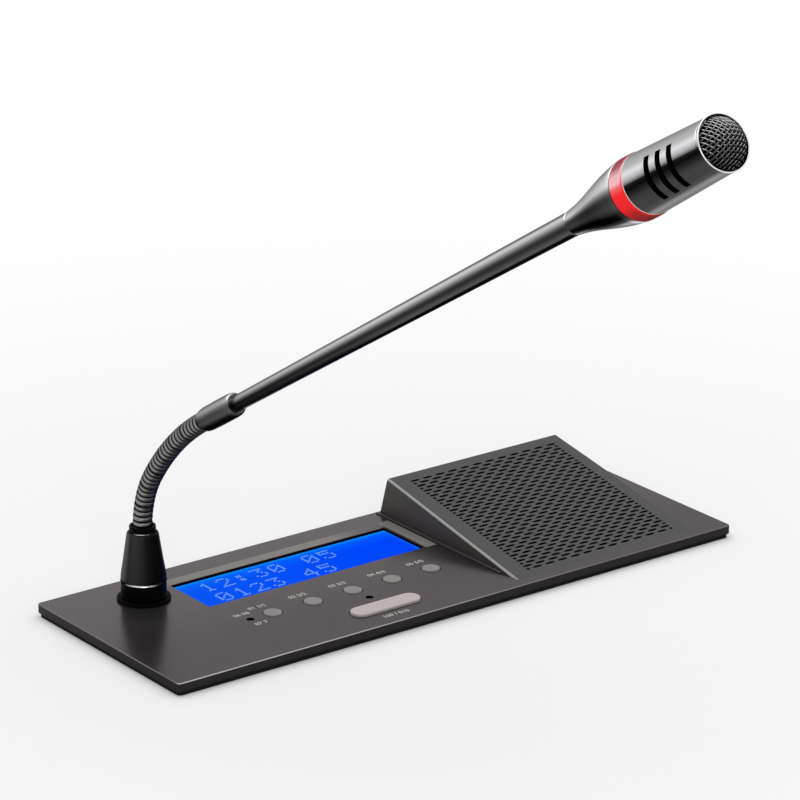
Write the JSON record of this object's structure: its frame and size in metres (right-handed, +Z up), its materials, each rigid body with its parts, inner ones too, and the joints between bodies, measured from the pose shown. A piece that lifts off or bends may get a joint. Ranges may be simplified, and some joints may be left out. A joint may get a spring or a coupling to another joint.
{
  "type": "conference delegate unit",
  "caption": "Flush conference delegate unit: flat panel with blue display, round keys, talk bar, wedge speaker grille and a lit gooseneck microphone.",
  "frame": {"origin": "centre of the back box's flat floor", "axes": "+Z up out of the panel, +X to the user's right along the panel's long side, +Y away from the user"},
  "size_m": [0.22, 0.2917, 0.2522],
  "materials": {
    "panel_paint": "warm dark grey satin coat",
    "cover_paint": "dark grey satin coat",
    "steel_sheet": "plain zinc plated sheet",
    "bright_metal": "bright plated",
    "gunmetal": "polished black nickel",
    "spring_steel": "dark blued winding",
    "black_gloss": "gloss black",
    "black_plastic": "moulded, matt",
    "key_plastic": "light grey silicone touch",
    "talk_plastic": "pale warm grey, smooth",
    "display_blue": "backlit blue window",
    "red_glow": "frosted red, lit from inside",
    "dark_light": "clear red, not lit",
    "circuit_board": "green solder mask",
    "foam": "closed cell foam",
    "soft_rubber": "soft black rubber",
    "paper_cone": "coated black paper",
    "dust_cloth": "fine black weave"
  },
  "bodies": {
    "unit": {"top_panel": "panel_paint", "rim_seal": "foam", "back_box": "steel_sheet", "box_screw_1": "bright_metal", "box_screw_2": "bright_metal", "box_screw_3": "bright_metal", "box_screw_4": "bright_metal", "data_port_in": "black_plastic", "data_port_out": "black_plastic", "display_lens": "display_blue", "display_frame": "black_plastic", "display_board": "circuit_board", "main_board": "circuit_board", "board_spacer_1": "bright_metal", "board_spacer_2": "bright_metal", "board_spacer_3": "bright_metal", "board_spacer_4": "bright_metal", "key_switch_1": "black_plastic", "key_switch_2": "black_plastic", "key_switch_3": "black_plastic", "key_switch_4": "black_plastic", "key_switch_5": "black_plastic", "talk_switch": "black_plastic", "speak_light": "dark_light", "talk_light": "dark_light", "speaker_cover": "cover_paint", "grille_cloth": "dust_cloth", "speaker_basket": "steel_sheet", "speaker_cone": "paper_cone", "speaker_magnet": "steel_sheet", "microphone_socket": "gunmetal", "socket_flange": "black_gloss", "socket_nut": "bright_metal", "socket_insert": "black_plastic"},
    "round_key_1": {"key_1": "key_plastic"},
    "round_key_2": {"key_2": "key_plastic"},
    "round_key_3": {"key_3": "key_plastic"},
    "round_key_4": {"key_4": "key_plastic"},
    "round_key_5": {"key_5": "key_plastic"},
    "talk_bar": {"talk_key": "talk_plastic"},
    "microphone_base": {"plug_body": "bright_metal", "plug_sleeve": "black_gloss", "sleeve_ring": "bright_metal", "neck_foot": "spring_steel"},
    "collar": {"lock_collar": "black_gloss"},
    "neck_1": {"neck_link_1": "spring_steel"},
    "neck_2": {"neck_link_2": "spring_steel"},
    "neck_3": {"neck_link_3": "spring_steel"},
    "neck_4": {"neck_link_4": "spring_steel"},
    "neck_5": {"neck_link_5": "spring_steel"},
    "neck_6": {"neck_link_6": "spring_steel"},
    "microphone_tip": {"neck_ferrule": "gunmetal", "microphone_rod": "gunmetal", "head_cone": "gunmetal", "light_ring": "red_glow", "head_body": "gunmetal", "head_rim": "bright_metal", "head_mesh": "gunmetal", "microphone_capsule": "bright_metal", "capsule_cup": "soft_rubber"}
  },
  "joints": [
    {"name": "key_1_press", "type": "slide", "parent": "unit", "child": "round_key_1", "axis": [0, 0, -1], "range_m": [0, 0.0005], "stiffness_N_per_m": 800, "springref_m": -0.0005},
    {"name": "key_2_press", "type": "slide", "parent": "unit", "child": "round_key_2", "axis": [0, 0, -1], "range_m": [0, 0.0005], "stiffness_N_per_m": 800, "springref_m": -0.0005},
    {"name": "key_3_press", "type": "slide", "parent": "unit", "child": "round_key_3", "axis": [0, 0, -1], "range_m": [0, 0.0005], "stiffness_N_per_m": 800, "springref_m": -0.0005},
    {"name": "key_4_press", "type": "slide", "parent": "unit", "child": "round_key_4", "axis": [0, 0, -1], "range_m": [0, 0.0005], "stiffness_N_per_m": 800, "springref_m": -0.0005},
    {"name": "key_5_press", "type": "slide", "parent": "unit", "child": "round_key_5", "axis": [0, 0, -1], "range_m": [0, 0.0005], "stiffness_N_per_m": 800, "springref_m": -0.0005},
    {"name": "talk_press", "type": "slide", "parent": "unit", "child": "talk_bar", "axis": [0, 0, -1], "range_m": [0, 0.0006], "stiffness_N_per_m": 1000, "springref_m": -0.0006},
    {"name": "microphone_lift", "type": "slide", "parent": "unit", "child": "microphone_base", "axis": [0, 0, 1], "range_m": [0, 0.03]},
    {"name": "collar_turn", "type": "hinge", "parent": "microphone_base", "child": "collar", "pos_m": [-0.0806, 0.023, 0.0395], "axis": [0, 0, 1], "range_deg": [0, 540]},
    {"name": "neck_bend_1", "type": "hinge", "parent": "microphone_base", "child": "neck_1", "pos_m": [-0.0806, 0.02255, 0.06188], "axis": [1, 0, 0], "range_deg": [-14.7, 7.5]},
    {"name": "neck_sway_1", "type": "hinge", "parent": "neck_1", "child": "neck_2", "pos_m": [-0.0806, 0.02031, 0.06975], "axis": [0, 0.9233, 0.3841], "range_deg": [-15, 15]},
    {"name": "neck_bend_2", "type": "hinge", "parent": "neck_2", "child": "neck_3", "pos_m": [-0.0806, 0.01631, 0.07688], "axis": [1, 0, 0], "range_deg": [-14.7, 7.5]},
    {"name": "neck_sway_2", "type": "hinge", "parent": "neck_3", "child": "neck_4", "pos_m": [-0.0806, 0.0112, 0.08329], "axis": [0, 0.7555, 0.6551], "range_deg": [-15, 15]},
    {"name": "neck_bend_3", "type": "hinge", "parent": "neck_4", "child": "neck_5", "pos_m": [-0.0806, 0.00558, 0.08926], "axis": [1, 0, 0], "range_deg": [-14.7, 7.5]},
    {"name": "neck_sway_3", "type": "hinge", "parent": "neck_5", "child": "neck_6", "pos_m": [-0.0806, -0.00052, 0.09473], "axis": [0, 0.6359, 0.7718], "range_deg": [-15, 15]},
    {"name": "neck_bend_4", "type": "hinge", "parent": "neck_6", "child": "microphone_tip", "pos_m": [-0.0806, -0.00706, 0.09967], "axis": [1, 0, 0], "range_deg": [-14.7, 7.5]}
  ]
}
